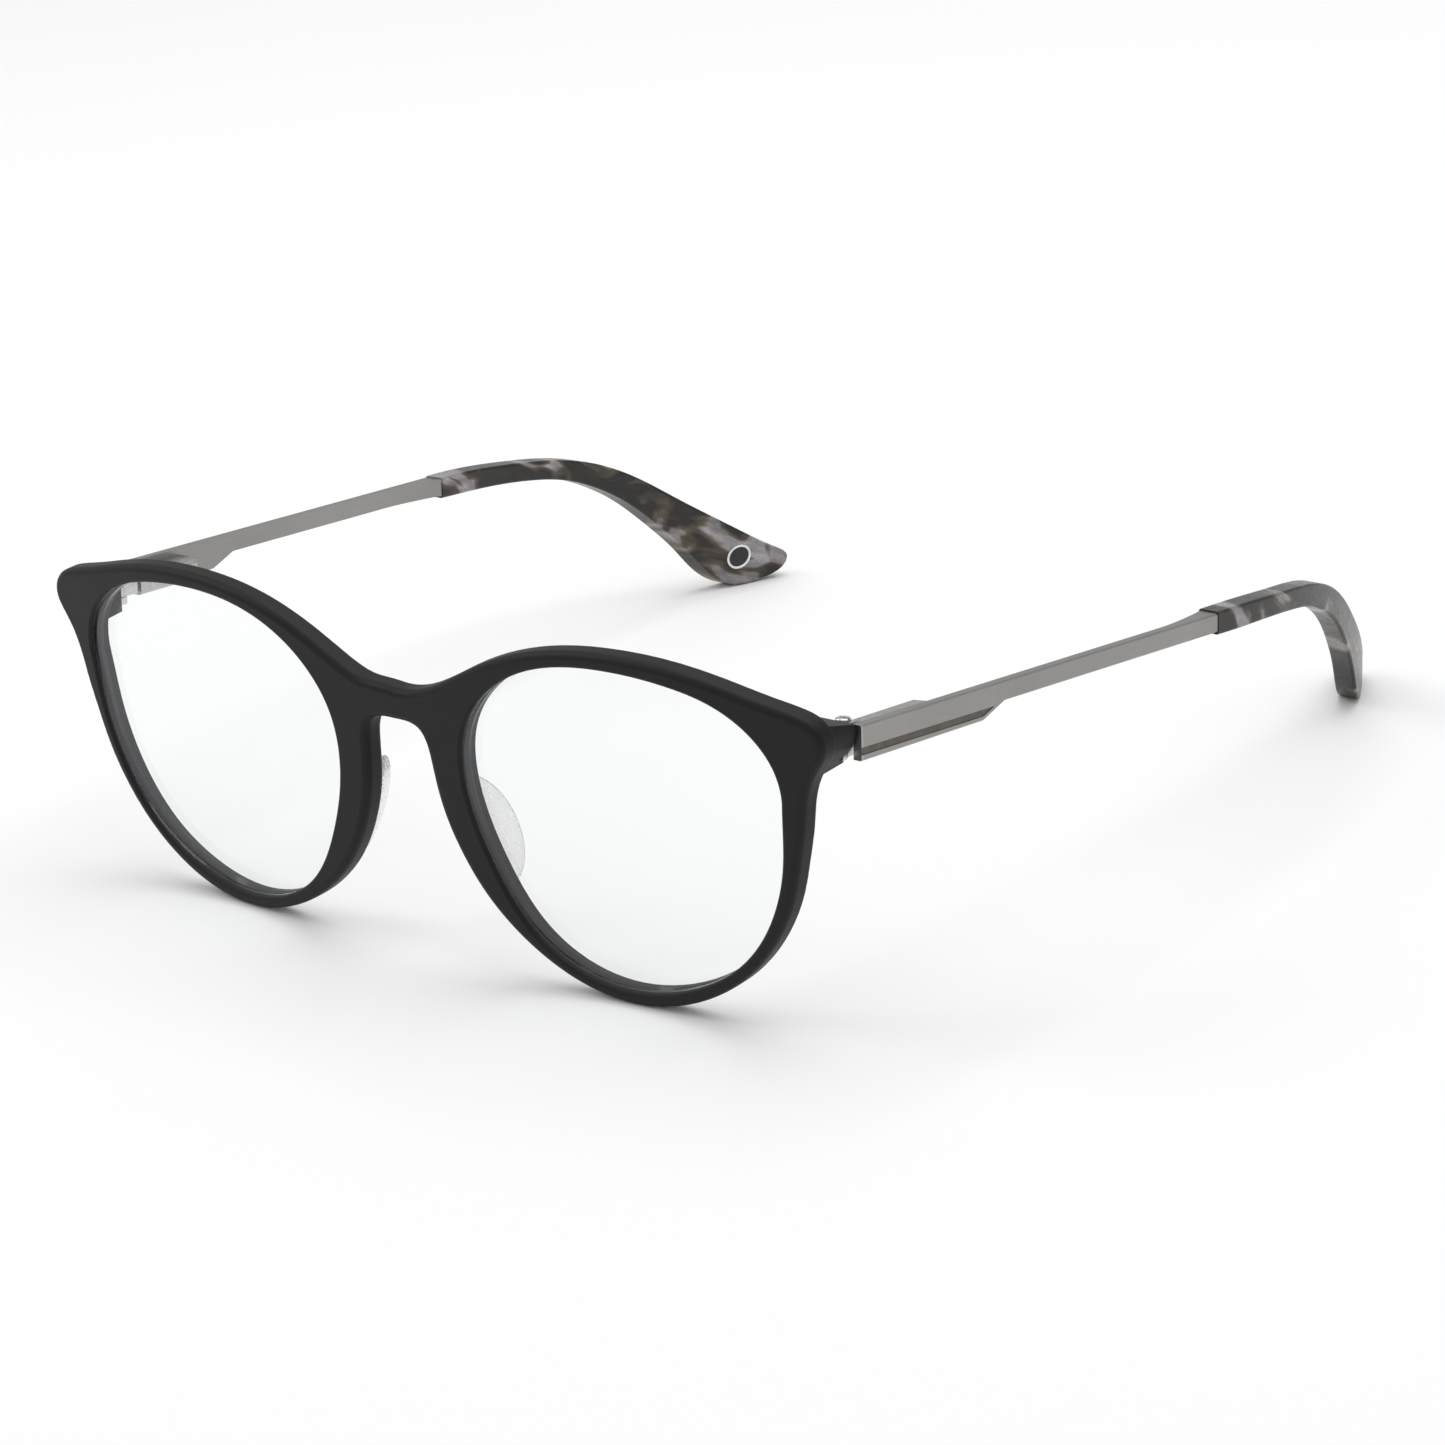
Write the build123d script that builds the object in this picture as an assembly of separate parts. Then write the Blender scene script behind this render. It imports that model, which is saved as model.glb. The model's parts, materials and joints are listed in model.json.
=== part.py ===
"""Eyeglasses: acetate front, spring hinges, metal temples, acetate tips.

Frame: X to the wearer's left, Y from the front to the ear tips, Z up, mm.
The open glasses rest on the rim bottoms and the tip ends at Z = 0.
"""
import os
from math import atan2, cos, pi, radians, sin, sqrt
from build123d import *

os.makedirs("parts", exist_ok=True)

# ---- front ----
FRONT_RADIUS = 474.0      # plan curve of the front face
RIM_DEPTH = 3.1           # front to back of rim and bridge
ROW_HEIGHT = 24.156       # reference row of the outlines above the floor
REST_Y = -68.02           # puts the origin under the middle of the box
OUTER_FILLET = 1.0
INNER_FILLET = 0.45
REAR_FILLET = 0.6
LENS_X = 35.5             # centre of one lens
LENS_Z = -0.8
GROOVE_BACK = 1.85        # groove plane behind the front face
GROOVE_HALF = 0.65        # half width of the V groove
GROOVE_DEPTH = 0.8
LENS_GAP = 0.05
LENS_RADIUS = 260.0       # front curve of the lens
LENS_THICK = 1.6

# ---- temple frame: local X out, Y along the temple, Z up, origin on the pin ----
PIN_X = 63.1
PIN_Y = 12.8
PIN_Z = 13.05             # above the reference row
SLOPE = 7.6               # temple drops to the rear
SPLAY = 2.6               # temple opens to the rear
REST_TILT = 1.046         # whole frame tips forward when resting

BUTT = -1.55              # rear plane of the end block
TEMPLE_END = -1.2         # front plane of the temple
PIN_RADIUS = 0.6
PIN_CLEAR = 0.05
BARREL = 1.25
KNUCKLE_HALF = 0.95       # middle knuckle half height
KNUCKLE_GAP = 0.1
HINGE_HALF = 2.0          # hinge stack half height
BAR_IN = 2.6
BAR_OUT = 3.9
BOX_IN = -1.6
BOX_FRONT = 2.95
BOX_REAR = 14.8
BOX_HALF = 1.35
ROD_RADIUS = 0.55
ROD_END = 12.6
STOP_LEN = 0.9
HINGE_W = -0.7             # hinge centre below the middle of the temple
SPRING_BORE = 1.05
SHOULDER = 4.4            # inner face of the wall the spring pushes on
WIRE = 0.16
SPRING_MEAN = 0.78
JOINT_U = 68.0            # metal to acetate joint
TIP_RADIUS = 100.0        # plan curve of the tip
TIP_OUT = 4.0
TIP_THICK = 3.2
TIP_EDGE = 0.35
CORE_END = 94.0
EMBLEM_U = 119.3
EMBLEM_W = -19.3
EMBLEM_A = 1.75
EMBLEM_B = 2.05


def front_y(x):
    """Y of the front face at a given X."""
    return FRONT_RADIUS - sqrt(FRONT_RADIUS ** 2 - x * x)


# ---------------------------------------------------------------- outlines
HALF_OUTLINE = [(5, 13.4), (9.5, 15.2), (15, 18.0), (21.5, 20.5), (28.5, 22.0), (36, 22.5),
                (44, 22.1), (52, 20.7), (58.6, 19.1), (62.5, 18.2), (65.0, 17.1), (66.3, 15.3),
                (66.3, 13.3), (65.3, 11.5), (64.0, 9.4), (63.0, 6.6), (62.3, 3.0), (61.2, -1.4),
                (59.8, -6.1), (57.4, -11.0), (53.5, -16.0), (48.0, -20.3), (41.3, -23.2),
                (34.5, -24.2), (27.8, -23.4), (21.6, -21.0), (16.0, -17.3), (11.5, -12.7),
                (8.6, -8.0), (6.7, -3.3), (5.75, 1.4), (5.4, 4.6), (5.0, 6.5), (4.1, 7.9),
                (2.5, 8.5)]
APERTURE = [(59.9, 6.0), (58.4, 12.4), (53.3, 17.0), (45.0, 19.6), (35.5, 20.4), (25.6, 19.3),
            (16.9, 15.1), (11.7, 8.1), (11.2, -0.1), (14.0, -8.8), (19.3, -16.9), (26.4, -21.2),
            (34.5, -22.4), (42.8, -20.8), (50.6, -16.6), (56.1, -10.0), (59.0, -2.1)]


def front_outline():
    """Closed outline of the whole front, symmetric about X = 0."""
    back = [(-x, z) for x, z in reversed(HALF_OUTLINE)]
    return Face(Wire(Spline((0, 13.0), *HALF_OUTLINE, (0, 8.6), *back, periodic=True)))


def lens_outline(offset):
    """Closed outline of the aperture in the lens plane, grown by offset."""
    base = Spline(*[(x - LENS_X, z - LENS_Z) for x, z in APERTURE], periodic=True)
    count = 64
    grown = []
    for i in range(count):
        p = base @ (i / count)
        t = base % (i / count)
        grown.append((p.X - offset * t.Y, p.Y + offset * t.X))
    return Spline(*grown, periodic=True)


def outward(offset):
    """The outline grown outwards whatever way the base curve runs."""
    probe = lens_outline(1.0)
    inner = lens_outline(-1.0)
    sign = 1 if Face(Wire(probe)).area > Face(Wire(inner)).area else -1
    return lens_outline(sign * offset)


LENS_TURN = atan2(LENS_X, sqrt(FRONT_RADIUS ** 2 - LENS_X ** 2)) * 180 / pi
LENS_PLACE = (Pos(LENS_X, front_y(LENS_X), LENS_Z) * Rot(0, 0, LENS_TURN)
              * Pos(0, GROOVE_BACK, 0))


def lens_prism(offset, y0, y1):
    """Straight prism of the grown outline between two planes of the lens frame."""
    face = Pos(0, y0, 0) * (Plane.XZ * Face(Wire(outward(offset))))
    return extrude(face, amount=y1 - y0, dir=(0, 1, 0))


def bevel_disc(depth, half):
    """Double cone disc whose sharp edge is the bottom of the V."""
    solids = []
    for side in (-1, 1):
        wide = Plane.XZ * Face(Wire(outward(depth)))
        narrow = Pos(0, side * half, 0) * (Plane.XZ * Face(Wire(outward(-0.05))))
        solids.append(loft([wide, narrow], ruled=True))
    return solids[0] + solids[1]


def finish(part, name):
    """Tip to the resting pose, lift to the floor and write."""
    placed = Pos(0, REST_Y, ROW_HEIGHT) * (Rot(REST_TILT, 0, 0) * part)
    placed.label = name
    export_step(placed, "parts/%s.step" % name)
    return placed


# ---------------------------------------------------------------- front
prism = extrude(Pos(0, -2, 0) * (Plane.XZ * front_outline()), amount=20, dir=(0, 1, 0))
solid_front = Pos(0, FRONT_RADIUS, 0) * Cylinder(FRONT_RADIUS, 80)
hollow = Pos(0, FRONT_RADIUS, 0) * Cylinder(FRONT_RADIUS - RIM_DEPTH, 80)
temple_place = (Pos(PIN_X, PIN_Y, PIN_Z) * Rot(-SLOPE, 0, 0) * Rot(0, 0, -SPLAY))

front = (prism & solid_front) - hollow
plan = Polyline((60.4, 5.5), (60.9, 12.8), (68, 12.8), (68, 3.0), (60.4, 3.0), close=True)
block = extrude(Pos(0, 0, 6.0) * Face(Wire(plan)), amount=14, dir=(0, 0, 1))
slope = Polyline((3.0, 8.4), (6.2, 10.0), (13.0, 10.1), (13.0, 14.6), (6.9, 16.4), (3.0, 17.6),
                 close=True)
wedge = Pos(50, 0, 0) * extrude(Plane.YZ * Face(Wire(slope)), amount=20, dir=(1, 0, 0))
butt = temple_place * (Pos(0, BUTT - 15, 0) * Box(30, 30, 40))
behind = Pos(0, FRONT_RADIUS, 0) * Cylinder(FRONT_RADIUS - OUTER_FILLET - 0.2, 80)
end_block = (block & wedge) & scale(prism, by=(0.9985, 1, 0.998)) & behind & butt


def rear_gap(e):
    """Distance of an edge middle from the rear wall of the rims."""
    p = e @ 0.5
    return abs(sqrt(p.X ** 2 + (FRONT_RADIUS - p.Y) ** 2) - (FRONT_RADIUS - RIM_DEPTH))


def front_gap(e):
    """Distance of an edge middle from the front face."""
    p = e @ 0.5
    return abs(sqrt(p.X ** 2 + (FRONT_RADIUS - p.Y) ** 2) - FRONT_RADIUS)


def round_edges(part, pick, radii):
    """Round the picked edges, taking the first radius the kernel accepts."""
    chosen = [e for e in part.edges() if pick(e)]
    for r in radii:
        try:
            out = fillet(chosen, r)
        except Exception:
            continue
        if out.is_valid and out.volume > 0.9 * part.volume:
            print("rounded", len(chosen), "edges at", r, flush=True)
            return out
    print("left sharp:", len(chosen), flush=True)
    return part


def round_long(tip_body):
    """Soften the long edges of the tip, by the kernel's first good size."""
    long_edges = [e for e in tip_body.edges() if e.length > 30]
    for tool, size in ((fillet, TIP_EDGE), (fillet, 0.25), (chamfer, TIP_EDGE), (chamfer, 0.25)):
        try:
            out = tool(long_edges, size)
        except Exception:
            continue
        if out.is_valid:
            print("tip edges", tool.__name__, size, flush=True)
            return out
    print("tip left sharp", flush=True)
    return tip_body


front = round_edges(front, lambda e: front_gap(e) < 0.02, (OUTER_FILLET, 0.9, 0.8))
print(round(front.volume, 1), front.is_valid, flush=True)
front = round_edges(front, lambda e: rear_gap(e) < 0.02, (REAR_FILLET, 0.6, 0.5, 0.4))
print(round(front.volume, 1), front.is_valid, flush=True)
hole = LENS_PLACE * lens_prism(0.0, -12, 12)
groove = LENS_PLACE * bevel_disc(GROOVE_DEPTH, GROOVE_HALF)
front = front - hole - hole.mirror(Plane.YZ)
print("holes", round(front.volume, 1), front.is_valid, len(front.solids()), flush=True)
front = round_edges(front, lambda e: front_gap(e) < 0.02 and e.length > 20, (INNER_FILLET, 0.35))
front = front - groove - groove.mirror(Plane.YZ)
print("groove", round(front.volume, 1), front.is_valid, len(front.solids()), flush=True)
front = front + end_block + end_block.mirror(Plane.YZ)
print("blocks", round(front.volume, 1), front.is_valid, len(front.solids()), flush=True)


# ---------------------------------------------------------------- lens and pad
lens_core = lens_prism(-LENS_GAP, -6, 6)
apex = -LENS_THICK / 2 - 24.0 ** 2 / (2 * LENS_RADIUS)
outer_ball = Pos(0, apex + LENS_RADIUS, 0) * Sphere(LENS_RADIUS)
inner_ball = Pos(0, apex + LENS_RADIUS, 0) * Sphere(LENS_RADIUS - LENS_THICK)
edge_ring = bevel_disc(GROOVE_DEPTH - LENS_GAP, GROOVE_HALF - LENS_GAP) - lens_prism(-0.4, -6, 6)
lens = (lens_core & outer_ball) - inner_ball + edge_ring
lens = LENS_PLACE * lens

pad = scale(Rot(0, 90, 0) * Sphere(1.0), by=(1.5, 4.6, 7.6))
pad = Pos(10.0, 3.7, -6.2) * Rot(0, -24, 0) * Rot(0, 0, -22) * pad
pad = pad - (Pos(0, FRONT_RADIUS, 0) * (Cylinder(FRONT_RADIUS + 20, 80)
                                         - Cylinder(FRONT_RADIUS - RIM_DEPTH, 80)))

# ---------------------------------------------------------------- hinge, temple frame
def upright(radius, w0, w1, x=0.0, u=0.0):
    """Vertical cylinder in the temple frame."""
    return Pos(x, u, (w0 + w1) / 2) * Cylinder(radius, w1 - w0)


def along(radius, u0, u1, x=0.0, w=0.0):
    """Cylinder along the temple."""
    return Pos(x, (u0 + u1) / 2, w) * Rot(90, 0, 0) * Cylinder(radius, u1 - u0)


def brick(x0, x1, u0, u1, w0, w1):
    """Box given by its limits."""
    return Pos((x0 + x1) / 2, (u0 + u1) / 2, (w0 + w1) / 2) * Box(x1 - x0, u1 - u0, w1 - w0)


LOW = KNUCKLE_HALF + KNUCKLE_GAP
plate = brick(-1.7, 2.1, BUTT - 0.9, BUTT, -2.1, 2.2)
plate = fillet(plate.edges().filter_by(Axis.Y), 0.5)
front_hinge = plate
for w0, w1 in ((LOW, HINGE_HALF), (-HINGE_HALF, -LOW)):
    front_hinge += upright(BARREL, w0, w1) + brick(-BARREL, BARREL, BUTT - 0.2, 0, w0, w1)
front_hinge -= upright(PIN_RADIUS, -3, 3)

screw = upright(PIN_RADIUS, -HINGE_HALF, HINGE_HALF)
head = upright(1.0, HINGE_HALF, HINGE_HALF + 0.5)
head = fillet(head.edges().sort_by(Axis.Z)[-1], 0.25)
screw = screw + head - brick(-1.2, 1.2, -0.13, 0.13, HINGE_HALF + 0.22, HINGE_HALF + 1)

slider = upright(BARREL, -KNUCKLE_HALF, KNUCKLE_HALF)
slider += brick(-BARREL, BARREL, 0, 2.6, -KNUCKLE_HALF, KNUCKLE_HALF)
slider += along(ROD_RADIUS, 2.0, ROD_END)
slider -= upright(PIN_RADIUS + PIN_CLEAR, -3, 3)

stop = along(0.95, ROD_END - STOP_LEN, ROD_END) - along(ROD_RADIUS, 0, ROD_END + 1)

turns_len = ROD_END - STOP_LEN - SHOULDER - 2 * WIRE
helix = Helix(pitch=turns_len / 7, height=turns_len, radius=SPRING_MEAN)
wire_face = Plane(origin=helix @ 0, z_dir=helix % 0) * Circle(WIRE)
spring = sweep(wire_face, path=helix, is_frenet=True)
spring = Pos(0, SHOULDER + WIRE, 0) * Rot(-90, 0, 0) * spring

box = brick(BOX_IN, BAR_IN, BOX_FRONT, BOX_REAR, -BOX_HALF, BOX_HALF)
ramp_cut = Polyline((BOX_IN - 1, BOX_REAR - 1.2), (BAR_IN - 0.4, BOX_REAR + 0.6),
                    (BOX_IN - 1, BOX_REAR + 0.6), close=True)
box -= Pos(0, 0, -5) * extrude(Face(Wire(ramp_cut)), amount=10, dir=(0, 0, 1))
box = fillet(box.edges().filter_by(Axis.Y).group_by(Axis.X)[0], 0.5)
box -= along(SPRING_BORE, SHOULDER, BOX_REAR - 1.0)
box -= along(ROD_RADIUS + PIN_CLEAR, 0, SHOULDER + 1)

# ---------------------------------------------------------------- temple bar
side = Polyline((TEMPLE_END, 1.7), (JOINT_U, 1.1), (JOINT_U, -1.4), (25.4, -1.05),
                (21.3, -2.7), (TEMPLE_END, -2.7), close=True)
side_face = Face(Wire(side))
side_face = fillet([v for v in side_face.vertices() if 10 < v.X < 40], 0.5)


def sideways(face, x0, x1):
    """Extrude a face drawn as (along, up) across the temple."""
    solid = extrude(Plane.YZ * face, amount=x1 - x0, dir=(1, 0, 0))
    return Pos(x0, 0, 0) * solid


bar = sideways(side_face, BAR_IN, BAR_OUT)
flare_line = Spline((BAR_IN, 57.5), (1.9, 64.2), (1.0, JOINT_U), tangents=[(0, 1), (-0.4, 1)])
flare_rest = Polyline((1.0, JOINT_U), (BAR_OUT, JOINT_U), (BAR_OUT, 57.5), (BAR_IN, 57.5))
flare_plan = Face(Wire([flare_line, *flare_rest.edges()]))
flare = Pos(0, 0, -5) * extrude(flare_plan, amount=10, dir=(0, 0, 1))
bar += flare & sideways(side_face, 0, BAR_OUT)
bar = chamfer([e for e in bar.edges() if e.length > 15 and (e @ 0.5).X > BAR_OUT - 0.01], 0.18)

groove_face = Face(Wire(Polyline((TEMPLE_END - 1, -1.0), (23.3, -1.3), (21.1, -2.15),
                                 (TEMPLE_END - 1, -1.95), close=True)))
stripe_cut = sideways(groove_face, BAR_OUT - 0.3, BAR_OUT + 1)
bar -= stripe_cut
stripe = sideways(groove_face, BAR_OUT - 0.3, BAR_OUT - 0.12)
stripe &= brick(-5, 10, TEMPLE_END, 40, -5, 5)

# ---------------------------------------------------------------- tip
TIP_TOP = [(JOINT_U, 1.3), (76, 1.15), (84, 0.6), (91.5, -0.2), (98.3, -1.9), (104.8, -5.0),
           (111.5, -9.5), (118.8, -14.5), (124.6, -18.4)]
TIP_END = [(126.1, -19.8), (125.7, -21.3), (122.9, -23.1), (119.2, -23.8), (116.4, -22.5)]
TIP_LOW = [(112.2, -17.6), (107.8, -12.9), (102.8, -8.5), (98.2, -5.7), (92.9, -3.6),
           (86.5, -2.5), (77.7, -1.95), (JOINT_U, -1.75)]


def curved_slab(outer, inner, u0, u1):
    """Slab that follows the plan curve of the tip between two radii."""
    centre = Pos(TIP_OUT - TIP_RADIUS, JOINT_U, 0)
    ring = centre * (Cylinder(outer, 80) - Cylinder(inner, 80))
    return ring & brick(-40, 20, u0, u1, -40, 20)


tip_line = Spline(*TIP_TOP, *TIP_END, *TIP_LOW)
tip_face = Face(Wire([tip_line, Line(TIP_LOW[-1], TIP_TOP[0])]))
tip = sideways(tip_face, -40, 20) & curved_slab(TIP_RADIUS, TIP_RADIUS - TIP_THICK, JOINT_U, 140)
print("tip", round(tip.volume, 1), tip.is_valid, flush=True)
tip = round_long(tip)
core_low = [(94.0, -3.1), (86, -1.0), (76, -0.55), (JOINT_U - 2, -0.5)]
core_top = [(JOINT_U - 2, 0.3), (76, 0.15), (86, -0.45), (94.0, -2.3)]
core_face = Face(Wire([Spline(*core_top), Line(core_top[-1], core_low[0]), Spline(*core_low),
                       Line(core_low[-1], core_top[0])]))
core = sideways(core_face, -40, 20)
core &= curved_slab(TIP_RADIUS - 1.1, TIP_RADIUS - 2.1, JOINT_U - 2, 140)
bar += core
tip -= core


def tip_skin(u):
    """Plan angle and inner face position of the tip at a distance along the temple."""
    reach = TIP_RADIUS - TIP_THICK
    angle = atan2(u - JOINT_U, sqrt(reach ** 2 - (u - JOINT_U) ** 2))
    return angle, TIP_OUT - TIP_RADIUS + reach * cos(angle)


badge_angle, badge_x = tip_skin(EMBLEM_U)
badge_place = (Pos(badge_x, EMBLEM_U, EMBLEM_W) * Rot(0, 0, badge_angle * 180 / pi)
               * Rot(38, 0, 0))


def badge(a, b, x0, x1):
    """Oval prism in the badge frame, X pointing out of the temple."""
    face = Plane.YZ * Face(Wire(Ellipse(b, a).edges()))
    return Pos(x0, 0, 0) * extrude(face, amount=x1 - x0, dir=(1, 0, 0))


emblem_rim = badge_place * (badge(EMBLEM_A, EMBLEM_B, -0.15, 0.3)
                            - badge(EMBLEM_A - 0.35, EMBLEM_B - 0.35, -1, 1))
enamel = badge_place * badge(EMBLEM_A - 0.35, EMBLEM_B - 0.35, -0.05, 0.3)
tip -= badge_place * badge(EMBLEM_A, EMBLEM_B, -1, 0.3)

# ---------------------------------------------------------------- write both sides
hinge_place = temple_place * Pos(0, 0, HINGE_W)
pocket = hinge_place * plate
front = front - pocket - pocket.mirror(Plane.YZ)
finish(front, "front_frame")
pieces = {"lens": lens, "nose_pad": pad}
hinge = {"front_hinge": front_hinge, "hinge_screw": screw, "spring_slider": slider,
         "spring_stop": stop, "coil_spring": spring, "hinge_box": box}
temple = {"temple_bar": bar, "temple_stripe": stripe, "temple_tip": tip,
          "emblem_rim": emblem_rim, "emblem_enamel": enamel}
for name, piece in hinge.items():
    pieces[name] = hinge_place * piece
for name, piece in temple.items():
    pieces[name] = temple_place * piece
for name, piece in pieces.items():
    print(name, round(piece.volume, 2), len(piece.solids()), piece.is_valid, flush=True)
    finish(piece, "left_" + name)
    finish(piece.mirror(Plane.YZ), "right_" + name)
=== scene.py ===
import json
from math import cos, radians, sin

import bmesh
import bpy
from mathutils import Matrix, Vector


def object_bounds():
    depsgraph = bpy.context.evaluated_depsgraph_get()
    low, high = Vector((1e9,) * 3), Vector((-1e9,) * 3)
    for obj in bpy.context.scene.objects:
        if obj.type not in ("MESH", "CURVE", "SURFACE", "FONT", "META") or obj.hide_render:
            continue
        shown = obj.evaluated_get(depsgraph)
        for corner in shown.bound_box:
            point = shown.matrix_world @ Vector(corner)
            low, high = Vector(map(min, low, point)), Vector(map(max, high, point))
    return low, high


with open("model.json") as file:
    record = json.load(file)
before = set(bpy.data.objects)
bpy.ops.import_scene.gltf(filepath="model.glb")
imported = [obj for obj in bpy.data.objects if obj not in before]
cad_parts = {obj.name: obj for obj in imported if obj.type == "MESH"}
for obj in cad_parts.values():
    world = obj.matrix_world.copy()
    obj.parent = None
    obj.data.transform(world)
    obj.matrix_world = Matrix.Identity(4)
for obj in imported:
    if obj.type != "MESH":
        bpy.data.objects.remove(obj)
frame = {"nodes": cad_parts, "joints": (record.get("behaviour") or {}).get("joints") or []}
cad_low, cad_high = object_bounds()
nodes = frame["nodes"]
MM = 0.001

# ---- camera ----
AZIMUTH = 42.13
ELEVATION = 20.69
ROLL = -6.05
DISTANCE = 0.5896
AIM = Vector((0.02973, -0.03961, 0.02734))
FOCAL = 116.61
SENSOR_WIDTH = 36.0
NEAR_CLIP, FAR_CLIP = 0.02, 40.0

# ---- stage and light ----
FLOOR_HALF = 7.0
FLOOR_GAP = 0.02 * MM
SURROUND = 0.62
TOP_WATTS = 6.5
KEY_WATTS = 3.0

# ---- temple tips, mm along the temple from the hinge pin ----
TIP_START = 67.0
TIP_LENGTH = 60.0
PATTERN_SEED = {"left": 4.1, "right": 12.6}

# ---- joints: each temple is measured from its hinge pin ----
JOINTS = {j["name"]: j for j in frame["joints"]}


# ---------------------------------------------------------------- node helpers
def new_material(name):
    """An empty node tree with its output."""
    mat = bpy.data.materials.new(name)
    mat.use_nodes = True
    mat.node_tree.nodes.clear()
    return mat, mat.node_tree


def put(tree, kind, inputs=None, **props):
    """One shader node with its properties, values and links."""
    made = tree.nodes.new("ShaderNode" + kind)
    for key, value in props.items():
        setattr(made, key, value)
    for key, value in (inputs or {}).items():
        socket = made.inputs[key]
        if isinstance(value, bpy.types.NodeSocket):
            tree.links.new(value, socket)
        else:
            socket.default_value = value
    return made


def math(tree, operation, a, b=0.0, c=0.0, clamp=False):
    """A Math node's result."""
    made = put(tree, "Math", {0: a, 1: b, 2: c}, operation=operation, use_clamp=clamp)
    return made.outputs[0]


def ramp(tree, factor, stops, interpolation="LINEAR"):
    """A colour ramp through (position, colour) stops."""
    made = put(tree, "ValToRGB", {0: factor})
    band = made.color_ramp
    band.interpolation = interpolation
    while len(band.elements) < len(stops):
        band.elements.new(0.5)
    for element, (place, colour) in zip(band.elements, stops):
        element.position = place
        element.color = (*colour, 1.0) if len(colour) == 3 else colour
    return made.outputs[0]


def level(tree, factor, stops):
    """A ramp of plain numbers."""
    return ramp(tree, factor, [(p, (v, v, v)) for p, v in stops])


def noise(tree, vector, scale, detail=3.0, rough=0.5, warp=0.0):
    """Noise value at a vector."""
    made = put(tree, "TexNoise", {"Vector": vector, "Scale": scale, "Detail": detail,
                                  "Roughness": rough, "Distortion": warp})
    return made.outputs["Fac"]


def blend(tree, factor, a, b):
    """Mix of two colours."""
    made = put(tree, "Mix", data_type="RGBA")
    for socket, value in ((made.inputs[0], factor), (made.inputs[6], a), (made.inputs[7], b)):
        if isinstance(value, bpy.types.NodeSocket):
            tree.links.new(value, socket)
        elif socket is made.inputs[0]:
            socket.default_value = value
        else:
            socket.default_value = (*value, 1.0)
    return made.outputs[2]


def bump(tree, height, strength, depth, under=None):
    """Bump normal from a height, over another bump."""
    inputs = {"Height": height, "Strength": strength, "Distance": depth}
    if under is not None:
        inputs["Normal"] = under
    return put(tree, "Bump", inputs).outputs[0]


def own(tree):
    """The piece's own coordinates, in metres."""
    return put(tree, "TexCoord").outputs["Object"]


def close(tree, shader):
    """Shader to the material's surface."""
    out = put(tree, "OutputMaterial")
    tree.links.new(shader, out.inputs["Surface"])


def temple_place(tree, side):
    """Outwards, along and up coordinates of one temple, in mm from its pin."""
    fold = JOINTS[side + "_temple_fold"]
    sign = 1 if side == "left" else -1
    up = Vector(fold["axis"]) * sign
    along = Vector(JOINTS[side + "_temple_flex"]["axis"])
    out = along.cross(up) * sign
    pin = Vector(fold["pos_m"])
    spot = put(tree, "VectorMath", {0: own(tree), 1: pin}, operation="SUBTRACT").outputs[0]
    parts = []
    for axis in (out, along, up):
        dot = put(tree, "VectorMath", {0: spot, 1: axis / MM}, operation="DOT_PRODUCT")
        parts.append(dot.outputs["Value"])
    return parts


def stretched(tree, parts, scales):
    """Vector of scaled coordinates, for grain that runs one way."""
    scaled = [math(tree, "MULTIPLY", p, s) for p, s in zip(parts, scales)]
    return put(tree, "CombineXYZ", {0: scaled[0], 1: scaled[1], 2: scaled[2]}).outputs[0]


# ---------------------------------------------------------------- materials
def front_acetate():
    """Tumbled black acetate: matt, a fine orange peel and faint polish marks."""
    mat, t = new_material("front_acetate")
    at = own(t)
    cloud = noise(t, at, 90.0, 4.0)
    grain = noise(t, at, 2600.0, 3.0)
    micro = noise(t, at, 9000.0, 2.0)
    colour = ramp(t, cloud, [(0.3, (0.0048, 0.0040, 0.0054)), (0.7, (0.0078, 0.0066, 0.0086))])
    rough = level(t, math(t, "MULTIPLY_ADD", grain, 0.4, math(t, "MULTIPLY", cloud, 0.6)),
                  [(0.3, 0.44), (0.7, 0.56)])
    normal = bump(t, grain, 0.25, 0.03 * MM, bump(t, micro, 0.35, 0.012 * MM))
    shader = put(t, "BsdfPrincipled", {"Base Color": colour, "Roughness": rough, "Normal": normal,
                                       "Specular IOR Level": 0.24})
    close(t, shader.outputs[0])
    return mat


def clear_lens():
    """Coated lens: see-through, with a weak mirror that grows towards grazing."""
    mat, t = new_material("clear_lens")
    facing = put(t, "LayerWeight", {"Blend": 0.5}).outputs["Facing"]
    mirror = math(t, "MULTIPLY_ADD", math(t, "POWER", facing, 5.0), 0.75, 0.035)
    smear = noise(t, own(t), 160.0, 3.0, 0.6)
    gloss = put(t, "BsdfAnisotropic", {"Color": (0.96, 0.97, 1.0, 1.0),
                                       "Roughness": level(t, smear, [(0.3, 0.03), (0.8, 0.09)])})
    see = put(t, "BsdfTransparent", {"Color": (0.985, 0.992, 0.99, 1.0)})
    haze = put(t, "BsdfTranslucent", {"Color": (0.97, 0.97, 1.0, 1.0)})
    veil = put(t, "MixShader", {0: 0.012, 1: see.outputs[0], 2: haze.outputs[0]})
    shader = put(t, "MixShader", {0: mirror, 1: veil.outputs[0], 2: gloss.outputs[0]})
    close(t, shader.outputs[0])
    return mat


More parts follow.
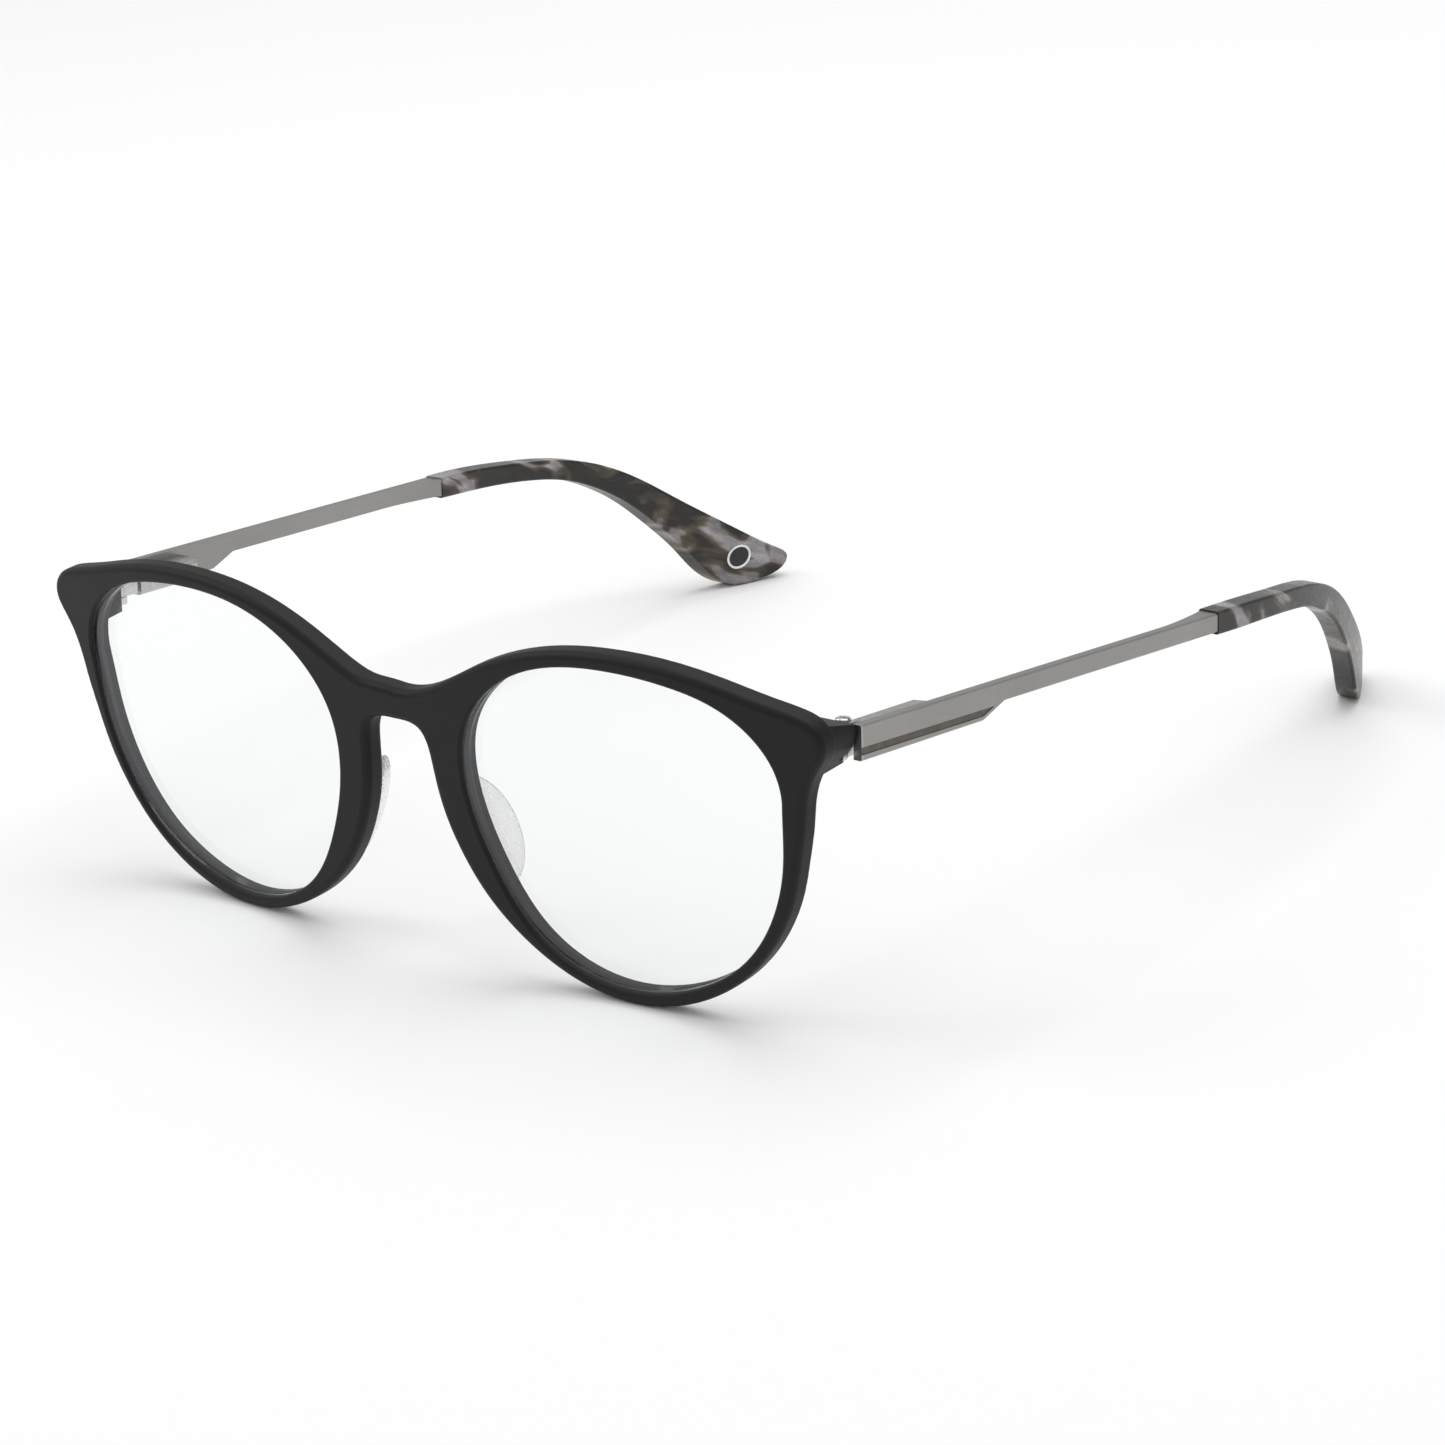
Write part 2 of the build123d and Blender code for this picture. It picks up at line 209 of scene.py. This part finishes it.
def pad_clear():
    """Clear acetate pad with a tumbled skin."""
    mat, t = new_material("pad_clear")
    at = own(t)
    cloud = noise(t, at, 500.0, 3.0)
    colour = ramp(t, cloud, [(0.3, (0.93, 0.93, 0.91)), (0.7, (0.98, 0.98, 0.97))])
    rough = level(t, noise(t, at, 1500.0, 3.0), [(0.3, 0.22), (0.7, 0.34)])
    normal = bump(t, noise(t, at, 2500.0, 3.0), 0.2, 0.03 * MM)
    shader = put(t, "BsdfPrincipled", {"Base Color": colour, "Roughness": rough, "Normal": normal,
                                       "Transmission Weight": 0.82, "IOR": 1.3})
    close(t, shader.outputs[0])
    return mat


def steel(name, dark, light, rough, scale):
    """Machined steel with fine turning marks."""
    mat, t = new_material(name)
    at = own(t)
    marks = noise(t, at, scale, 3.0)
    fine = noise(t, at, scale * 4, 2.0)
    colour = ramp(t, marks, [(0.3, dark), (0.7, light)])
    roughness = level(t, fine, [(0.3, rough - 0.06), (0.7, rough + 0.08)])
    shader = put(t, "BsdfPrincipled", {"Base Color": colour, "Roughness": roughness,
                                       "Metallic": 1.0, "Normal": bump(t, fine, 0.2, 0.01 * MM)})
    close(t, shader.outputs[0])
    return mat


def temple_metal(side):
    """Satin plated temple: long brushing, a paler front end, fine blasted skin."""
    mat, t = new_material("temple_metal_" + side)
    parts = temple_place(t, side)
    brush = noise(t, stretched(t, parts, (14.0, 0.35, 14.0)), 1.0, 4.0, 0.6)
    blast = noise(t, own(t), 7000.0, 2.0)
    cloud = noise(t, own(t), 110.0, 2.0)
    tone = math(t, "MULTIPLY_ADD", brush, 0.65, math(t, "MULTIPLY", cloud, 0.35))
    colour = ramp(t, tone, [(0.28, (0.262, 0.256, 0.246)), (0.72, (0.335, 0.328, 0.316))])
    end = level(t, math(t, "MULTIPLY_ADD", parts[1], 0.1, 0.5), [(0.39, 1.0), (0.42, 0.0)])
    colour = blend(t, end, colour, (0.43, 0.42, 0.41))
    rough = level(t, brush, [(0.3, 0.30), (0.7, 0.42)])
    normal = bump(t, brush, 0.12, 0.02 * MM, bump(t, blast, 0.25, 0.008 * MM))
    shader = put(t, "BsdfPrincipled", {"Base Color": colour, "Roughness": rough,
                                       "Metallic": 1.0, "Normal": normal})
    close(t, shader.outputs[0])
    return mat


def stripe_paint():
    """Brown enamel laid in the groove."""
    mat, t = new_material("stripe_paint")
    at = own(t)
    colour = ramp(t, noise(t, at, 900.0, 4.0), [(0.3, (0.075, 0.064, 0.052)),
                                                (0.7, (0.115, 0.100, 0.082))])
    rough = level(t, noise(t, at, 2400.0, 2.0), [(0.3, 0.42), (0.7, 0.58)])
    shader = put(t, "BsdfPrincipled", {"Base Color": colour, "Roughness": rough,
                                       "Normal": bump(t, noise(t, at, 3000.0), 0.2, 0.02 * MM)})
    close(t, shader.outputs[0])
    return mat


def tip_acetate(side):
    """Havana acetate: near-black brown with clear and amber windows right through."""
    mat, t = new_material("tip_acetate_" + side)
    parts = temple_place(t, side)
    flow = put(t, "CombineXYZ", {0: math(t, "MULTIPLY_ADD", parts[0], 0.04, PATTERN_SEED[side]),
                                 1: math(t, "MULTIPLY", parts[1], 0.115),
                                 2: math(t, "MULTIPLY_ADD", parts[1], 0.06,
                                         math(t, "MULTIPLY", parts[2], 0.21))}).outputs[0]
    blotch = noise(t, flow, 1.0, 2.0, 0.45, 0.9)
    place = math(t, "MULTIPLY_ADD", parts[1], 1 / TIP_LENGTH, -TIP_START / TIP_LENGTH)
    open_up = level(t, place, [(0.0, 0.16), (0.10, 0.13), (0.22, 0.03), (0.74, 0.0),
                               (0.86, 0.06), (1.0, 0.10)])
    reach = math(t, "ADD", blotch, open_up)
    clear = level(t, reach, [(0.618, 0.0), (0.668, 1.0)])
    amber = level(t, reach, [(0.530, 0.0), (0.625, 1.0)])
    fine = noise(t, flow, 3.2, 1.5)
    dark = ramp(t, fine, [(0.3, (0.0075, 0.0062, 0.0056)), (0.7, (0.0160, 0.0128, 0.0105))])
    brown = ramp(t, fine, [(0.3, (0.060, 0.042, 0.026)), (0.7, (0.150, 0.115, 0.080))])
    glass = ramp(t, fine, [(0.3, (0.30, 0.275, 0.285)), (0.7, (0.56, 0.54, 0.56))])
    colour = blend(t, clear, blend(t, amber, dark, brown), glass)
    through = math(t, "MULTIPLY_ADD", clear, 0.35, math(t, "MULTIPLY", amber, 0.15))
    rough = level(t, noise(t, own(t), 1300.0, 2.0), [(0.3, 0.24), (0.7, 0.34)])
    normal = bump(t, noise(t, own(t), 2200.0, 3.0), 0.2, 0.02 * MM)
    shader = put(t, "BsdfPrincipled", {"Base Color": colour, "Roughness": rough, "Normal": normal,
                                       "Transmission Weight": through, "IOR": 1.47})
    close(t, shader.outputs[0])
    return mat


def enamel():
    """Gloss black enamel with a slight pull at the rim."""
    mat, t = new_material("emblem_enamel")
    at = own(t)
    colour = ramp(t, noise(t, at, 800.0), [(0.3, (0.006, 0.006, 0.007)),
                                           (0.7, (0.014, 0.014, 0.016))])
    shader = put(t, "BsdfPrincipled", {"Base Color": colour, "Roughness": 0.16,
                                       "Normal": bump(t, noise(t, at, 1200.0), 0.15, 0.03 * MM)})
    close(t, shader.outputs[0])
    return mat


LOOKS = {
    "lens": clear_lens(),
    "nose_pad": pad_clear(),
    "front_hinge": steel("hinge_steel", (0.50, 0.49, 0.47), (0.66, 0.65, 0.63), 0.28, 1500.0),
    "hinge_screw": steel("screw_steel", (0.58, 0.57, 0.55), (0.74, 0.73, 0.71), 0.20, 3000.0),
    "spring_slider": steel("slider_steel", (0.46, 0.45, 0.44), (0.60, 0.59, 0.58), 0.26, 1800.0),
    "spring_stop": steel("stop_steel", (0.46, 0.45, 0.44), (0.60, 0.59, 0.58), 0.26, 1800.0),
    "coil_spring": steel("spring_steel", (0.50, 0.50, 0.50), (0.66, 0.66, 0.66), 0.18, 2600.0),
    "hinge_box": steel("box_steel", (0.38, 0.37, 0.36), (0.50, 0.49, 0.47), 0.30, 900.0),
    "temple_stripe": stripe_paint(),
    "emblem_rim": steel("emblem_metal", (0.62, 0.62, 0.62), (0.78, 0.78, 0.78), 0.16, 1500.0),
    "emblem_enamel": enamel(),
}


def dress(name, mat):
    """Material into every slot of a node."""
    for slot in nodes[name].material_slots:
        slot.material = mat


dress("front_frame", front_acetate())
for side in ("left", "right"):
    for part, mat in LOOKS.items():
        dress(side + "_" + part, mat)
    dress(side + "_temple_bar", temple_metal(side))
    dress(side + "_temple_tip", tip_acetate(side))


# ---------------------------------------------------------------- stage and light
def make_floor():
    """Plain pale floor, level with the lowest point."""
    grid = bmesh.new()
    bmesh.ops.create_grid(grid, x_segments=2, y_segments=2, size=FLOOR_HALF)
    mesh = bpy.data.meshes.new("floor")
    grid.to_mesh(mesh)
    grid.free()
    floor = bpy.data.objects.new("floor", mesh)
    floor.location = (0, 0, cad_low.z - FLOOR_GAP)
    bpy.context.scene.collection.objects.link(floor)
    mat, t = new_material("floor")
    shader = put(t, "BsdfPrincipled", {"Base Color": (0.93, 0.93, 0.93, 1.0), "Roughness": 0.7,
                                       "Specular IOR Level": 0.2})
    close(t, shader.outputs[0])
    mesh.materials.append(mat)


def softbox(name, place, target, width, height, watts):
    """Area light that faces a point."""
    lamp = bpy.data.lights.new(name, "AREA")
    lamp.shape = "RECTANGLE"
    lamp.size = width
    lamp.size_y = height
    lamp.energy = watts
    holder = bpy.data.objects.new(name, lamp)
    holder.location = place
    holder.rotation_mode = "QUATERNION"
    holder.rotation_quaternion = (Vector(target) - Vector(place)).to_track_quat("-Z", "Y")
    bpy.context.scene.collection.objects.link(holder)


def make_light():
    """Even white surround and soft boxes above."""
    world = bpy.data.worlds.new("studio")
    world.use_nodes = True
    background = world.node_tree.nodes["Background"]
    background.inputs[0].default_value = (1.0, 1.0, 1.0, 1.0)
    background.inputs[1].default_value = SURROUND
    bpy.context.scene.world = world
    softbox("top", (0.05, 0.25, 1.1), (0, 0, 0), 1.1, 1.0, TOP_WATTS)
    softbox("key", (-0.9, -0.5, 0.9), (0, 0, 0.02), 0.7, 0.7, KEY_WATTS)


def make_camera():
    """Camera at the viewing angle, with a slight roll."""
    data = bpy.data.cameras.new("camera")
    data.lens = FOCAL
    data.sensor_width = SENSOR_WIDTH
    data.clip_start = NEAR_CLIP
    data.clip_end = FAR_CLIP
    camera = bpy.data.objects.new("camera", data)
    bpy.context.scene.collection.objects.link(camera)
    a, e = radians(AZIMUTH), radians(ELEVATION)
    back = Vector((sin(a) * cos(e), -cos(a) * cos(e), sin(e)))
    right = Vector((cos(a), sin(a), 0.0))
    up = back.cross(right)
    axes = Matrix((right, up, back)).transposed() @ Matrix.Rotation(radians(ROLL), 3, "Z")
    camera.matrix_world = Matrix.Translation(AIM + back * DISTANCE) @ axes.to_4x4()
    bpy.context.scene.camera = camera


make_floor()
make_light()
make_camera()
bpy.context.scene.view_settings.view_transform = "Standard"
